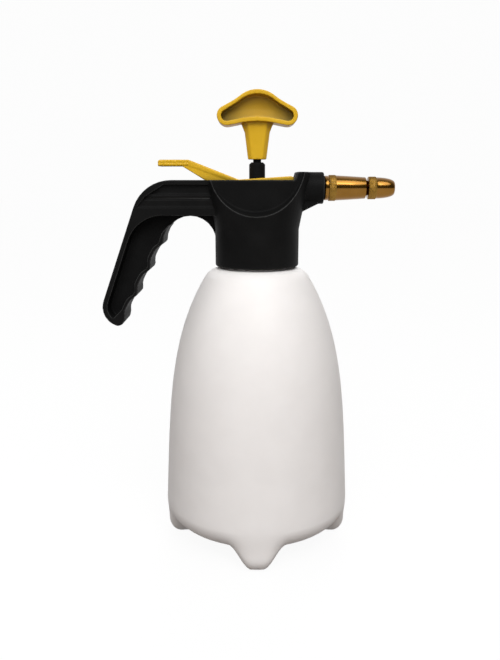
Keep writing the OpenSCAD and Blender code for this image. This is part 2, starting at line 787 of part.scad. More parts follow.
module dip_strainer() {
  slots = 3;
  color([0.82, 0.82, 0.8])
    translate([tube_x, 0, 0])
      difference() {
        translate([0, 0, strainer_z]) cylinder(r = strainer_r, h = strainer_h);
        translate([0, 0, tube_z - slip]) cylinder(r = tube_r + slip, h = strainer_h);
        translate([0, 0, strainer_z + strainer_floor]) cylinder(r = tube_in, h = strainer_h);
        for (i = [0 : slots - 1])
          rotate(i * 180 / slots)
            translate([-far / 2, -0.6, strainer_z - 1]) cube([far, 1.2, strainer_h - tube_grip - 0.5]);
      }
}

module trigger_lever() {
  color([1, 0.78, 0.05])
    difference() {
      union() {
        // thumb pad with a low rear lip
        slab([[-pad_reach, pad_low], [pad_x1 - pad_t, pad_low], [pad_x1, pad_low + pad_t / 3],
          [pad_x1, pad_top], [-pad_reach + pad_edge, pad_top], [-pad_reach, pad_top - pad_edge]], pad_y);
        // sloping flange and the web under it
        slab([[pad_x1 - flange_h, pad_top], [pad_x1, pad_top], [web_end, ring_top], flange_b, flange_a],
          flange_y);
        slab([web_a, [pad_x1, pad_top - pad_edge], [web_end, ring_top - pad_edge], [web_end, cheek_z], web_c,
          web_b], web_y);
        // frame round the rod, and the cheeks that carry the pivot
        slab(concat([[ring_x0, ring_top], [cave_x - pad_edge, rim_z + lever_rise],
          [cave_x + pad_edge, rim_z + lever_rise * 0.8], [pin_x + pin_boss, pin_z + 2 * pin_r]],
          arc(pin_x, pin_z, pin_boss, 0, -165, 8),
          [[yoke_x - ring_bar / 2, cheek_z - pin_r], [ring_x0, cheek_z]]), lever_y);
      }
      // opening for the rod, and the space in front of the yoke for the valve block
      translate([ring_x0 + ring_bar, -lever_gap_y, cheek_z - 20])
        cube([yoke_x - ring_x0 - ring_bar, 2 * lever_gap_y, far]);
      translate([yoke_x + yoke_t, -lever_gap_y, cheek_z - 20]) cube([20, 2 * lever_gap_y, far]);
      // slot in the yoke for the valve stem, and the pivot bore
      translate([yoke_x - 1, -stem_r - 0.3, valve_z - stem_r - 1.5])
        cube([yoke_t + 2, 2 * stem_r + 0.6, far]);
      bar_y(pin_x, pin_z, pin_r + slip, lever_y + 1);
    }
}

module lever_pin() {
  color("silver") bar_y(pin_x, pin_z, pin_r, pin_half);
}

module valve_stem() {
  color("silver")
    translate([0, 0, valve_z])
      turn_x([[0, tail_x - tail_t], [tail_r, tail_x - tail_t], [tail_r, tail_x], [stem_r, tail_x],
        [stem_r, head_x], [stem_head_r, head_x], [stem_head_r, seal_x], [0, seal_x]]);
}

module valve_seal() {
  color([0.1, 0.1, 0.1]) bar_x(seal_x, seal_x + seal_t, stem_head_r, valve_z);
}

// Compression spring: one tube swept along the coil, its ends closed.
module valve_spring() {
  sides = 6;
  per_turn = 12;
  steps = round(spring_turns * per_turn);
  run = spring_len - 2 * wire_r - 2 * slip;
  pitch = run / spring_turns;
  echo(spring_gap = pitch - 2 * wire_r);
  pts = [for (i = [0 : steps], k = [0 : sides - 1])
    let (a = 360 * i / per_turn, b = 360 * k / sides, r = coil_r + wire_r * cos(b))
    [spring_x + slip + wire_r + pitch * i / per_turn + wire_r * sin(b), r * cos(a), r * sin(a)]];
  skin = [for (i = [0 : steps - 1], k = [0 : sides - 1])
    let (p = sides * i + k, q = sides * i + (k + 1) % sides)
    each [[p, q, q + sides], [p, q + sides, p + sides]]];
  last = sides * steps;
  ends = [for (k = [1 : sides - 2])
    each [[0, k + 1, k], [last, last + k, last + k + 1]]];
  color("silver") translate([0, 0, valve_z]) polyhedron(pts, concat(skin, ends));
}

module spring_seat() {
  color("silver")
    translate([0, 0, valve_z])
      turn_x([[stem_r + slip, pocket_x], [seat_r, pocket_x], [seat_r, spring_x], [stem_r + slip, spring_x]]);
}

module stem_oring() {
  color([0.1, 0.1, 0.1])
    translate([oring_x + oring_r + slip, 0, valve_z])
      rotate([0, 90, 0]) rotate_extrude() translate([stem_r + slip + oring_r, 0]) circle(r = oring_r);
}

module nozzle_body() {
  color([0.85, 0.68, 0.3])
    translate([0, 0, valve_z])
      turn_x([[jet_r, nozzle_x], [thread_r, nozzle_x], [thread_r, hub_x], [hub_r - hub_step, hub_x],
        [hub_r - hub_step, knurl_x], [hub_r - 0.4, knurl_x], [hub_r, knurl_x + 0.4],
        [hub_r, knurl_x + knurl_len - 0.4], [hub_r - 0.3, knurl_x + knurl_len], [nose_r, groove_x],
        [front_r, groove_x], [front_r, front_x], [core_r, front_x], [core_r, core_x], [jet_r, core_x]]);
}

module nozzle_washer() {
  color([0.1, 0.1, 0.1])
    translate([0, 0, valve_z])
      turn_x([[thread_r + slip, boss_x], [hub_r - hub_step - 0.3, boss_x],
        [hub_r - hub_step - 0.3, hub_x], [thread_r + slip, hub_x]]);
}

// Swirl plug: a round plug with two flats, and a nose that points at the spray hole.
module spray_core() {
  color([0.85, 0.68, 0.3])
    difference() {
      translate([0, 0, valve_z])
        turn_x([[0, core_x], [core_r, core_x], [core_r, front_x], [core_r - 0.4, front_x + 1.2],
          [0.8, front_x + core_nose], [0, front_x + core_nose]]);
      for (s = [-1, 1])
        translate([core_x - 1, s * (core_r - 0.6) - (s < 0 ? 2 : 0), valve_z - 4])
          cube([front_x - core_x + 3, 2, 8]);
    }
}

module nozzle_tip() {
  color([0.85, 0.68, 0.3])
    translate([0, 0, valve_z])
      difference() {
        turn_x([[tip_bore, tip_x], [tip_r - 0.4, tip_x], [tip_r, tip_x + 0.6], [tip_r, tip_x + tip_band],
          [tip_r - 0.5, tip_x + tip_band + 0.4], [tip_r * 0.8, spray_x - 6.5], [tip_r * 0.5, spray_x],
          [spray_r, spray_x], [spray_r, tip_jet_x], [tip_bore, tip_cone_x]]);
        turn_x([[tip_bore - 1, tip_seal_x - tip_seal_r - slip],
          [front_r + 2 * tip_seal_r + 2 * slip, tip_seal_x - tip_seal_r - slip],
          [front_r + 2 * tip_seal_r + 2 * slip, tip_seal_x + tip_seal_r + slip],
          [tip_bore - 1, tip_seal_x + tip_seal_r + slip]]);
      }
}

module tip_oring() {
  color([0.1, 0.1, 0.1])
    translate([tip_seal_x, 0, valve_z])
      rotate([0, 90, 0]) rotate_extrude() translate([front_r + slip + tip_seal_r, 0]) circle(r = tip_seal_r);
}

bottle();
neck_gasket();
head_housing();
pump_barrel();
barrel_gasket();
barrel_cap();
piston();
piston_oring();
pump_rod();
pump_handle();
check_disc();
valve_cage();
dip_tube();
dip_strainer();
trigger_lever();
lever_pin();
valve_stem();
valve_seal();
valve_spring();
spring_seat();
stem_oring();
nozzle_body();
nozzle_washer();
spray_core();
nozzle_tip();
tip_oring();
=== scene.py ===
"""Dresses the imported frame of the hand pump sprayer: shapes, finishes, light and camera."""

import math

import bmesh
import bpy
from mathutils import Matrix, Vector


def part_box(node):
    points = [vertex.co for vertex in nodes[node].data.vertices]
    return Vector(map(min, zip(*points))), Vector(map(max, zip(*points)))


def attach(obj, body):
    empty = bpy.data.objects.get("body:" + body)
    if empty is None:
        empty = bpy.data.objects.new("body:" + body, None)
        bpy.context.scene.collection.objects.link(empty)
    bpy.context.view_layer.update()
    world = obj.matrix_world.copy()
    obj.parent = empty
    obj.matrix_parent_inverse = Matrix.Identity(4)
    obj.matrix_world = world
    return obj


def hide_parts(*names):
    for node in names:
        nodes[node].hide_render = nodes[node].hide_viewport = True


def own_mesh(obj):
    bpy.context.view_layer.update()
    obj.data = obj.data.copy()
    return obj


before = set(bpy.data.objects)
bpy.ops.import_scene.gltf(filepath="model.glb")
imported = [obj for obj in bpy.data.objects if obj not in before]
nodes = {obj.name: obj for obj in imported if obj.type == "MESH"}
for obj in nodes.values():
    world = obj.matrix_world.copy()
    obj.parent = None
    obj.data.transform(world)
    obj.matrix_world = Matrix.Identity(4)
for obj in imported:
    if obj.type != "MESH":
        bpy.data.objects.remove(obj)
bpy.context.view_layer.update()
scene = bpy.context.scene

MM = 0.001
TURN = 2 * math.pi

# Camera, measured on the photograph, whose frame has 500 x 660 pixels; millimetres and degrees
IMAGE_HEIGHT = 660
FOCAL_PIXELS = 680
SENSOR = 36.0
CAMERA_PLACE = (-5, -490, 267)
CAMERA_PITCH = 12.44

# Lengths from here to the finishes are in millimetres, apart from the boxes of CAD nodes

# Turned forms stay this much inside the CAD box
INSET = 0.02

# Tank: base and wall
BODY_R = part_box("bottle")[1].y / MM - INSET
BASE_Z = 15
BASE_FILLET = 16.5
BASE_DOME = 7
FILLET_R = BODY_R - BASE_FILLET
DISH_R = 36
DISH_ROWS = 7
BASE_ROWS = 34
POLE_R = 0.6
SHOULDER_Z = 199
WALL_Z = BASE_Z + BASE_FILLET
WALL_H = SHOULDER_Z - WALL_Z
WALL_TAPER = 7.9
WALL_ROWS = 36
TANK_WALL = 1.6
INNER_BASE_R = (35, 20, 8, POLE_R)
COLUMNS = 160

# Tank: feet
FEET = 4
FOOT_RING = 53
FOOT_CORE = 3.5
FOOT_EDGE = 18
FOOT_INSIDE = ((40.5, 15), (41, 0), (48.8, 0))
TOE_R = 58.5
TOE_ROUND = (9, 12)
TOE_BEND_Z = 18
FLANK_BEND = 8

# Tank: shoulder and neck
SHOULDER_R = 13.6
SHOULDER_ANGLE = 31.5
LEDGE_R = 25.9
LEDGE_EDGE = 0.3
NECK_R = 24.8
NECK_IN_R = 22.7
NECK_EDGE = 0.6
NECK_ROOT = 1
NECK_ROW = 8
NECK_H = 24.5
NECK_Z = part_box("bottle")[1].z / MM
LEDGE_Z = NECK_Z - NECK_H

# Tank: thread; its run-out counts steps
THREAD_R = 26.2
THREAD_PITCH = 4
THREAD_TURNS = 1.5
THREAD_STEPS = 48
THREAD_RISE = 9.5
THREAD_RUN_OUT = 8
THREAD_CREST = 0.4
THREAD_ROOT = 0.75
THREAD_SUNK = 0.5

# Nozzle and spray tip, along +X
NOZZLE_LOW, NOZZLE_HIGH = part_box("nozzle_body")
TIP_LOW, TIP_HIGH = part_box("nozzle_tip")
NOZZLE_Z = (NOZZLE_LOW.z + NOZZLE_HIGH.z) / 2 / MM
HUB_R = (NOZZLE_HIGH.z - NOZZLE_LOW.z) / 2 / MM - INSET
TIP_R = (TIP_HIGH.z - TIP_LOW.z) / 2 / MM - INSET
NOZZLE_X = NOZZLE_LOW.x / MM
FRONT_X = NOZZLE_HIGH.x / MM
TIP_X = TIP_LOW.x / MM
SPRAY_X = TIP_HIGH.x / MM
HUB_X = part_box("nozzle_washer")[1].x / MM
HUB_LEN = 3
HUB_DROP = 0.5
KNURL_X = HUB_X + HUB_LEN
KNURL_LEN = 5.2
KNURL_ROW = 2.5
KNURL_END = KNURL_X + KNURL_LEN
TAPER_RUN = 8
TAPER_DROP = 0.72
GROOVE_X = 76.2
NOSE_DROP = 1.5
NOSE_R = HUB_R - NOSE_DROP
NOSE_EDGE = 0.5
BORE_R = 1.6
SPIGOT_R = 5.95
STEM_R = 5
CORE_R = 2.45
CORE_DEPTH = 5.5
TIP_BAND = 5.8
TIP_BAND_X = TIP_X + TIP_BAND
TIP_ROW = 3
TIP_BEVEL = 0.4
TIP_LIP = 0.6
TIP_BORE_R = 5.1
TIP_GROOVE_X = (80.15, 81.75)
TIP_GROOVE_R = 6.6
CHAMBER_X = 89.5
JET_X = 94.6
JET_R = 0.6
JET_ANGLE = 4

# Small edges of the turned brass
BEVEL = 0.45
EDGE = 0.3
LEAD = 0.2
NICK = 0.15
STEP = 0.05

# Knurled bands: first x, last x and least radius
BAND_MARGIN = 0.1
BAND_DEPTH = 0.5
BAND_SLACK = 0.3
NOZZLE_BAND = (KNURL_X + BAND_MARGIN, KNURL_END - BAND_MARGIN, HUB_R - BAND_DEPTH)
SPRAY_BAND = (TIP_X + EDGE, TIP_BAND_X - BAND_MARGIN, TIP_R - BAND_DEPTH)
TEETH = 60
TOOTH_DEPTH = 0.2
TOOTH_FORM = (0, 0.5, 1, 0.5)

# Thumb pad of the lever
PAD_LEN = 21
PAD_T = 4.4

# Valve spring
SPRING_LOW, SPRING_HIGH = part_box("valve_spring")
WIRE_R = 0.35
WIRE_SIDES = 10
SPRING_TURNS = 3.5
SPRING_STEPS = 24


# Mesh helpers

WELD_DISTANCE = 1e-6
SMOOTH_FACTOR = 0.5


def add_piece(name, mesh, body, slot, material, *replaced):
    """Links a new piece, dresses it, and puts it on its body in place of CAD nodes."""
    mesh.materials.clear()
    mesh.materials.append(material)
    for face in mesh.polygons:
        face.use_smooth = True
    piece = bpy.data.objects.new(name, mesh)
    scene.collection.objects.link(piece)
    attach(piece, body)
    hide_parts(*replaced)
    return piece


def new_mesh(name, made):
    """A mesh from a bmesh, which is freed."""
    mesh = bpy.data.meshes.new(name)
    made.to_mesh(mesh)
    made.free()
    return mesh


def grid_mesh(name, rings, closed_ends):
    """A mesh of quads from rings of equally many points; each ring is closed round."""
    made = bmesh.new()
    rows = [[made.verts.new(Vector(p) * MM) for p in ring] for ring in rings]
    count = len(rows[0])
    pairs = list(zip(rows, rows[1:]))
    if not closed_ends:
        pairs.append((rows[-1], rows[0]))
    for low, high in pairs:
        for i in range(count):
            j = (i + 1) % count
            made.faces.new((low[i], low[j], high[j], high[i]))
    if closed_ends:
        made.faces.new(reversed(rows[0]))
        made.faces.new(rows[-1])
    bmesh.ops.recalc_face_normals(made, faces=made.faces)
    return new_mesh(name, made)


def joined(name, *parts):
    """One mesh from several."""
    made = bmesh.new()
    for part in parts:
        made.from_mesh(part)
    return new_mesh(name, made)


def bezier(p0, p1, p2, p3, steps):
    """Points of a cubic curve, without its first point."""
    points = []
    for i in range(1, steps + 1):
        t = i / steps
        s = 1 - t
        k = (s**3, 3 * s * s * t, 3 * s * t * t, t**3)
        points.append(tuple(sum(w * p[a] for w, p in zip(k, (p0, p1, p2, p3))) for a in (0, 1)))
    return points


def arc(cx, cz, rx, rz, start, end, steps):
    """Points of an elliptic arc, both ends included, angles in degrees."""
    angles = [math.radians(start + (end - start) * i / steps) for i in range(steps + 1)]
    return [(cx + rx * math.cos(a), cz + rz * math.sin(a)) for a in angles]


def spread(points, count):
    """Points at equal lengths along a path."""
    lengths = [0.0]
    for a, b in zip(points, points[1:]):
        lengths.append(lengths[-1] + math.dist(a, b))
    result = []
    k = 0
    for i in range(count):
        goal = lengths[-1] * i / (count - 1)
        while k < len(points) - 2 and lengths[k + 1] < goal:
            k += 1
        t = (goal - lengths[k]) / (lengths[k + 1] - lengths[k])
        result.append(tuple(a + (b - a) * t for a, b in zip(points[k], points[k + 1])))
    return result


def smooth_step(low, high, value):
    """0 up to low, 1 from high on, and a soft S between them."""
    t = min(max((value - low) / (high - low), 0), 1)
    return t * t * (3 - 2 * t)


def softened(name, node, voxel, rounds, faces):
    """A CAD node's form with moulded edges: remeshed, smoothed, and thinned to a face count."""
    made = bmesh.new()
    made.from_mesh(nodes[node].data)
    bmesh.ops.remove_doubles(made, verts=made.verts, dist=WELD_DISTANCE)
    work = bpy.data.objects.new(name + "_work", new_mesh(name + "_work", made))
    scene.collection.objects.link(work)
    remesh = work.modifiers.new("voxels", "REMESH")
    remesh.mode = "VOXEL"
    remesh.voxel_size = voxel * MM
    smooth = work.modifiers.new("rounding", "SMOOTH")
    smooth.factor = SMOOTH_FACTOR
    smooth.iterations = rounds
    graph = bpy.context.evaluated_depsgraph_get()
    triangles = len(work.evaluated_get(graph).data.polygons) * 2
    if triangles > faces:
        thin = work.modifiers.new("thinning", "DECIMATE")
        thin.ratio = faces / triangles
        graph = bpy.context.evaluated_depsgraph_get()
    result = bpy.data.meshes.new_from_object(work.evaluated_get(graph), depsgraph=graph)
    result.name = name
    bpy.data.objects.remove(work)
    return result


# Finishes: sizes and depths are in millimetres, colours are linear

# Moulded plastic
CLOUD_SIZE = 18
RUB_SIZE = 9
RUB_DETAIL = 6
RUB_STRETCH = (1, 1, 0.35)
FLOW_SIZE = 14
FLOW_DETAIL = 1
FLOW_DEPTH = 0.06
FLOW_STRENGTH = 0.15
GRAIN_DETAIL = 2
GRAIN_STRENGTH = 0.5
SCATTER_TINT = (1.0, 0.95, 0.9)
SCATTER_DEPTH = 3

# Pointiness from which an edge gets a painted highlight, and from which the highlight is full
EDGE_BEND = (0.515, 0.56)

# How far the painted shade in hollows feels for other walls, and the openness at which it is
# full and at which it ends
SHADE_REACH = 14
SHADE_OPEN = (0.3, 0.85)

# Thumb pad
PAD_RUB_SIZE = 6
PAD_RUB_DETAIL = 5
PAD_SPECULAR = 0.35
PIMPLE_DISORDER = 0.25
PIMPLE_FOOT = 0.6
PIMPLE_STRENGTH = 0.8

# Turned metal
TARNISH_SIZE = 9
POLISH_SIZE = 6
LINE_DETAIL = 2
LINE_STRETCH = (1, 0.02, 0.02)
LINE_STRENGTH = 0.15

# Pairs of colours, and of roughness, that more than one finish has
BLACK_TONES = ((0.006, 0.006, 0.006), (0.008, 0.008, 0.008))
BLACK_ROUGH = (0.48, 0.56)
YELLOW_TONES = ((0.63, 0.37, 0.011), (0.69, 0.415, 0.016))
YELLOW_ROUGH = (0.36, 0.48)


def new_finish(name):
    """A material, its node tree and its shader."""
    finish = bpy.data.materials.new(name)
    finish.use_nodes = True
    tree = finish.node_tree
    return finish, tree, tree.nodes["Principled BSDF"]


def noise(tree, size, detail=3.0, stretch=(1, 1, 1)):
    """A noise value whose spots are about size millimetres wide."""
    place = tree.nodes.new("ShaderNodeTexCoord")
    mapping = tree.nodes.new("ShaderNodeMapping")
    mapping.inputs["Scale"].default_value = stretch
    texture = tree.nodes.new("ShaderNodeTexNoise")
    texture.inputs["Scale"].default_value = 1 / (size * MM)
    texture.inputs["Detail"].default_value = detail
    tree.links.new(place.outputs["Object"], mapping.inputs["Vector"])
    tree.links.new(mapping.outputs["Vector"], texture.inputs["Vector"])
    return texture.outputs["Fac"]


def blend(tree, value, low, high, start=0.35, end=0.65):
    """Maps a value to a colour between low and high."""
    ramp = tree.nodes.new("ShaderNodeValToRGB")
    for stop, position, colour in zip(ramp.color_ramp.elements, (start, end), (low, high)):
        stop.position = position
        stop.color = (*colour, 1)
    tree.links.new(value, ramp.inputs["Fac"])
    return ramp.outputs["Color"]


def between(tree, value, low, high, start=0.3, end=0.7):
    """Maps a value to a number between low and high."""
    scale = tree.nodes.new("ShaderNodeMapRange")
    limits = {"From Min": start, "From Max": end, "To Min": low, "To Max": high}
    for socket, number in limits.items():
        scale.inputs[socket].default_value = number
    tree.links.new(value, scale.inputs["Value"])
    return scale.outputs["Result"]


def bump(tree, height, depth, strength, under=None):
    """Turns a height value into a normal."""
    node = tree.nodes.new("ShaderNodeBump")
    node.inputs["Strength"].default_value = strength
    node.inputs["Distance"].default_value = depth * MM
    tree.links.new(height, node.inputs["Height"])
    if under:
        tree.links.new(under, node.inputs["Normal"])
    return node.outputs["Normal"]


def colour_mix(tree, share, free, colour, fixed, tint):
    """Mixes the colour on its free socket with a tint on the fixed one."""
    mix = tree.nodes.new("ShaderNodeMix")
    mix.data_type = "RGBA"
    mix.inputs[fixed].default_value = (*tint, 1)
    tree.links.new(share, mix.inputs["Factor"])
    tree.links.new(colour, mix.inputs[free])
    return mix.outputs["Result"]


def painted_edge_highlights(tree, colour, edge):
    """Painted highlight: lets a colour go over to that of the edges where the surface bends
    outwards.
    """
    shape = tree.nodes.new("ShaderNodeNewGeometry")
    bent = between(tree, shape.outputs["Pointiness"], 0, 1, *EDGE_BEND)
    return colour_mix(tree, bent, "A", colour, "B", edge)


def painted_hollow_shade(tree, colour, hollow_shade):
    """Painted shade: lets a colour go over to a darker shade colour in corners and hollows, by
    ambient occlusion.
    """
    shade = tree.nodes.new("ShaderNodeAmbientOcclusion")
    shade.inputs["Distance"].default_value = SHADE_REACH * MM
    clear = between(tree, shade.outputs["AO"], 0, 1, *SHADE_OPEN)
    return colour_mix(tree, clear, "B", colour, "A", hollow_shade)


def moulded(
    name, tones, rough, grain, depth, specular=0.5, subsurface=0.0, edge=None, hollow_shade=None
):
    """Moulded plastic: cloudy colour, fine grain, faint flow marks, rubbed patches, and optional
    painted highlights on outward edges and painted shade in hollows.
    """
    finish, tree, shader = new_finish(name)
    link = tree.links.new
    colour = blend(tree, noise(tree, CLOUD_SIZE), *tones)
    if edge:
        colour = painted_edge_highlights(tree, colour, edge)
    if hollow_shade:
        colour = painted_hollow_shade(tree, colour, hollow_shade)
    link(colour, shader.inputs["Base Color"])
    rubbed = noise(tree, RUB_SIZE, RUB_DETAIL, RUB_STRETCH)
    link(between(tree, rubbed, *rough), shader.inputs["Roughness"])
    waves = bump(tree, noise(tree, FLOW_SIZE, FLOW_DETAIL), FLOW_DEPTH, FLOW_STRENGTH)
    skin = bump(tree, noise(tree, grain, GRAIN_DETAIL), depth, GRAIN_STRENGTH, waves)
    link(skin, shader.inputs["Normal"])
    shader.inputs["Specular IOR Level"].default_value = specular
    if subsurface:
        shader.inputs["Subsurface Weight"].default_value = subsurface
        shader.inputs["Subsurface Radius"].default_value = SCATTER_TINT
        shader.inputs["Subsurface Scale"].default_value = SCATTER_DEPTH * MM
    return finish


def pimpled(name, tones, rough, pitch, depth):
    """Moulded plastic with a raised, close pattern for the thumb."""
    finish, tree, shader = new_finish(name)
    link = tree.links.new
    link(blend(tree, noise(tree, CLOUD_SIZE), *tones), shader.inputs["Base Color"])
    rubbed = noise(tree, PAD_RUB_SIZE, PAD_RUB_DETAIL)
    link(between(tree, rubbed, *rough), shader.inputs["Roughness"])
    shader.inputs["Specular IOR Level"].default_value = PAD_SPECULAR
    place = tree.nodes.new("ShaderNodeTexCoord")
    cells = tree.nodes.new("ShaderNodeTexVoronoi")
    cells.inputs["Scale"].default_value = 1 / (pitch * MM)
    cells.inputs["Randomness"].default_value = PIMPLE_DISORDER
    link(place.outputs["Object"], cells.inputs["Vector"])
    height = between(tree, cells.outputs["Distance"], 1, 0, 0, PIMPLE_FOOT)
    link(bump(tree, height, depth, PIMPLE_STRENGTH), shader.inputs["Normal"])
    return finish


def turned_metal(name, tones, rough, line, depth, coat=0.0):
    """Lathe-turned metal: fine lines round the X axis, a thin tarnish and a clear lacquer."""
    finish, tree, shader = new_finish(name)
    link = tree.links.new
    shader.inputs["Metallic"].default_value = 1.0
    shader.inputs["Coat Weight"].default_value = coat
    link(blend(tree, noise(tree, TARNISH_SIZE), *tones), shader.inputs["Base Color"])
    link(between(tree, noise(tree, POLISH_SIZE), *rough), shader.inputs["Roughness"])
    lines = noise(tree, line, LINE_DETAIL, LINE_STRETCH)
    link(bump(tree, lines, depth, LINE_STRENGTH), shader.inputs["Normal"])
    return finish


TANK_WHITE = moulded(
    "tank_white",
    tones=((0.83, 0.803, 0.788), (0.85, 0.823, 0.808)),
    rough=(0.42, 0.5),
    grain=0.7,
    depth=0.012,
    specular=0.2,
    subsurface=0.15,
)
BLACK = moulded("black_moulded", BLACK_TONES, BLACK_ROUGH, grain=0.45, depth=0.02, specular=0.04)
YELLOW = moulded(
    "yellow_moulded",
    YELLOW_TONES,
    YELLOW_ROUGH,
    grain=0.6,
    depth=0.02,
    specular=0.35,
    subsurface=0.05,
    # painted shade: a darker colour in the hollows and corners of the yellow mouldings, by
    # ambient occlusion
    hollow_shade=(0.2, 0.135, 0.012),
)
PAD_YELLOW = pimpled("yellow_pad", YELLOW_TONES, YELLOW_ROUGH, pitch=2.2, depth=0.5)
# Black with painted highlights along its outward edges
EDGE_HIGHLIT_BLACK = moulded(
    "black_edge_highlit",
    BLACK_TONES,
    BLACK_ROUGH,
    grain=0.45,
    depth=0.02,
    specular=0.04,
    # colour of the painted highlight on outward edges
    edge=(0.05, 0.05, 0.05),
)
NATURAL = moulded(
    "natural_moulded",
    tones=((0.66, 0.66, 0.62), (0.72, 0.72, 0.68)),
    rough=(0.4, 0.5),
    grain=0.6,
    depth=0.02,
    specular=0.4,
)
RUBBER = moulded(
    "black_rubber",
    tones=((0.012, 0.012, 0.012), (0.02, 0.02, 0.019)),
    rough=(0.6, 0.75),
    grain=0.3,
    depth=0.03,
    specular=0.3,
)
BRASS = turned_metal(
    "turned_brass",
    tones=((0.22, 0.1, 0.01), (0.245, 0.114, 0.014)),
    rough=(0.19, 0.23),
    line=0.12,
    depth=0.001,
    coat=0.3,
)
KNURLED = turned_metal(
    "knurled_brass",
    tones=((0.25, 0.135, 0.022), (0.29, 0.16, 0.027)),
    rough=(0.42, 0.5),
    line=0.12,
    depth=0.001,
    coat=0.1,
)
STEEL = turned_metal(
    "drawn_steel",
    tones=((0.5, 0.5, 0.5), (0.62, 0.62, 0.61)),
    rough=(0.25, 0.38),
    line=0.15,
    depth=0.008,
)


# Tank: a wall that flares to four feet, with a dished base between them


def dome_z(r):
    """Height of the dished base."""
    return BASE_Z + BASE_DOME * (1 - (r / FILLET_R) ** 2)


def wall_point(t):
    """The wall's (r, z) at a height fraction, and its outward normal.

    The wall narrows in a straight line, and with the fourth power of the height on top of it.
    """
    top_r = LEDGE_R + SHOULDER_R * math.cos(math.radians(SHOULDER_ANGLE))
    drop = BODY_R - WALL_TAPER - top_r
    slope = (-WALL_TAPER - 4 * drop * t**3) / WALL_H
    size = math.hypot(1, slope)
    point = (BODY_R - WALL_TAPER * t - drop * t**4, WALL_Z + WALL_H * t)
    return point, (1 / size, -slope / size)


def foot_share(angle):
    """1 on the line of a foot, 0 between the feet."""
    pitch = TURN / FEET
    off = abs((angle + pitch / 2) % pitch - pitch / 2) * FOOT_RING
    return 1 - smooth_step(FOOT_CORE, FOOT_EDGE, off)


def turned_ring(r, z):
    """A level ring about the tank's axis."""
    angles = [TURN * i / COLUMNS for i in range(COLUMNS)]
    return [(r * math.cos(a), r * math.sin(a), z) for a in angles]


def footed_ring(between_feet, on_foot):
    """A ring whose (r, z) goes from one point between the feet to another on each foot."""
    (r0, z0), (r1, z1) = between_feet, on_foot
    ring = []
    for i in range(COLUMNS):
        angle = TURN * i / COLUMNS
        w = foot_share(angle)
        r = r0 + (r1 - r0) * w
        ring.append((r * math.cos(angle), r * math.sin(angle), z0 + (z1 - z0) * w))
    return ring


def base_outlines():
    """The (r, z) outlines from the dish to the wall, between the feet and along a foot."""
    start = (DISH_R, dome_z(DISH_R))
    middle_r = 0.5 * (DISH_R + FILLET_R)
    plain = [start, (middle_r, dome_z(middle_r))]
    plain += arc(FILLET_R, WALL_Z, BASE_FILLET, BASE_FILLET, start=-90, end=0, steps=24)
    foot = [start] + bezier(start, *FOOT_INSIDE, steps=16)
    foot += arc(TOE_R, TOE_ROUND[1], *TOE_ROUND, start=-90, end=0, steps=16)
    toe_bend = (TOE_R + TOE_ROUND[0], TOE_BEND_Z)
    flank_bend = (BODY_R, WALL_Z - FLANK_BEND)
    foot += bezier(foot[-1], toe_bend, flank_bend, (BODY_R, WALL_Z), steps=12)
    return spread(plain, BASE_ROWS), spread(foot, BASE_ROWS)


def neck_outline():
    """The neck's (r, z) outline, from the ledge over the rim and down inside."""
    return [
        (NECK_R + LEDGE_EDGE, LEDGE_Z),
        (NECK_R, LEDGE_Z + LEDGE_EDGE),
        (NECK_R, LEDGE_Z + NECK_ROW),
        (NECK_R, NECK_Z - NECK_EDGE),
        (NECK_R - NECK_EDGE, NECK_Z),
        (NECK_IN_R + NECK_EDGE, NECK_Z),
        (NECK_IN_R, NECK_Z - NECK_EDGE),
        (NECK_IN_R, LEDGE_Z - NECK_ROOT),
    ]


def shoulder_arc(radius, start, end, steps):
    """Part of a circle about the shoulder's centre."""
    return arc(LEDGE_R, LEDGE_Z - SHOULDER_R, radius, radius, start, end, steps)


def tank_mesh():
    """The tank as one closed skin: from the base's middle up outside and down inside.

    Inside, where nobody looks, every third row of the wall is enough.
    """
    dish = [DISH_R * i / DISH_ROWS for i in range(1, DISH_ROWS)]
    wall = [wall_point(i / WALL_ROWS) for i in range(WALL_ROWS + 1)]
    inside_r = SHOULDER_R - TANK_WALL
    floor_r = BASE_FILLET - TANK_WALL

    rings = [turned_ring(POLE_R, dome_z(0))]
    rings += [turned_ring(r, dome_z(r)) for r in dish]
    rings += [footed_ring(*pair) for pair in zip(*base_outlines())]
    upper = [point for point, _ in wall[1:]]
    upper += shoulder_arc(SHOULDER_R, SHOULDER_ANGLE, 90, steps=10)[1:]
    upper += neck_outline()
    upper += shoulder_arc(inside_r, 90, SHOULDER_ANGLE, steps=8)
    for (r, z), (out, up) in reversed(wall[:-1:3]):
        upper.append((r - TANK_WALL * out, z - TANK_WALL * up))
    upper += arc(FILLET_R, WALL_Z, floor_r, floor_r, start=0, end=-90, steps=10)[1:]
    upper += [(r, dome_z(r) + TANK_WALL) for r in INNER_BASE_R]
    rings += [turned_ring(r, z) for r, z in upper]
    return grid_mesh("tank_shell", rings, True)


def thread_mesh():
    """The screw thread on the neck, a ridge that runs out at both ends."""
    steps = int(THREAD_TURNS * THREAD_STEPS)
    root_r = NECK_R - THREAD_SUNK
    rings = []
    for i in range(steps + 1):
        a = TURN * i / THREAD_STEPS
        z = LEDGE_Z + THREAD_RISE + THREAD_PITCH * i / THREAD_STEPS
        rise = min(1, i / THREAD_RUN_OUT, (steps - i) / THREAD_RUN_OUT)
        crest_r = NECK_R + (THREAD_R - NECK_R) * rise
        section = (
            (root_r, -THREAD_ROOT),
            (crest_r, -THREAD_CREST),
            (crest_r, THREAD_CREST),
            (root_r, THREAD_ROOT),
        )
        rings.append([(r * math.cos(a), r * math.sin(a), z + dz) for r, dz in section])
    return grid_mesh("neck_thread", rings, True)


tank_form = joined("tank_shell", tank_mesh(), thread_mesh())
add_piece("tank_shell", tank_form, "tank", "white_hdpe", TANK_WHITE, "bottle")


# Head, lever and pump handle: the CAD forms with moulded edges

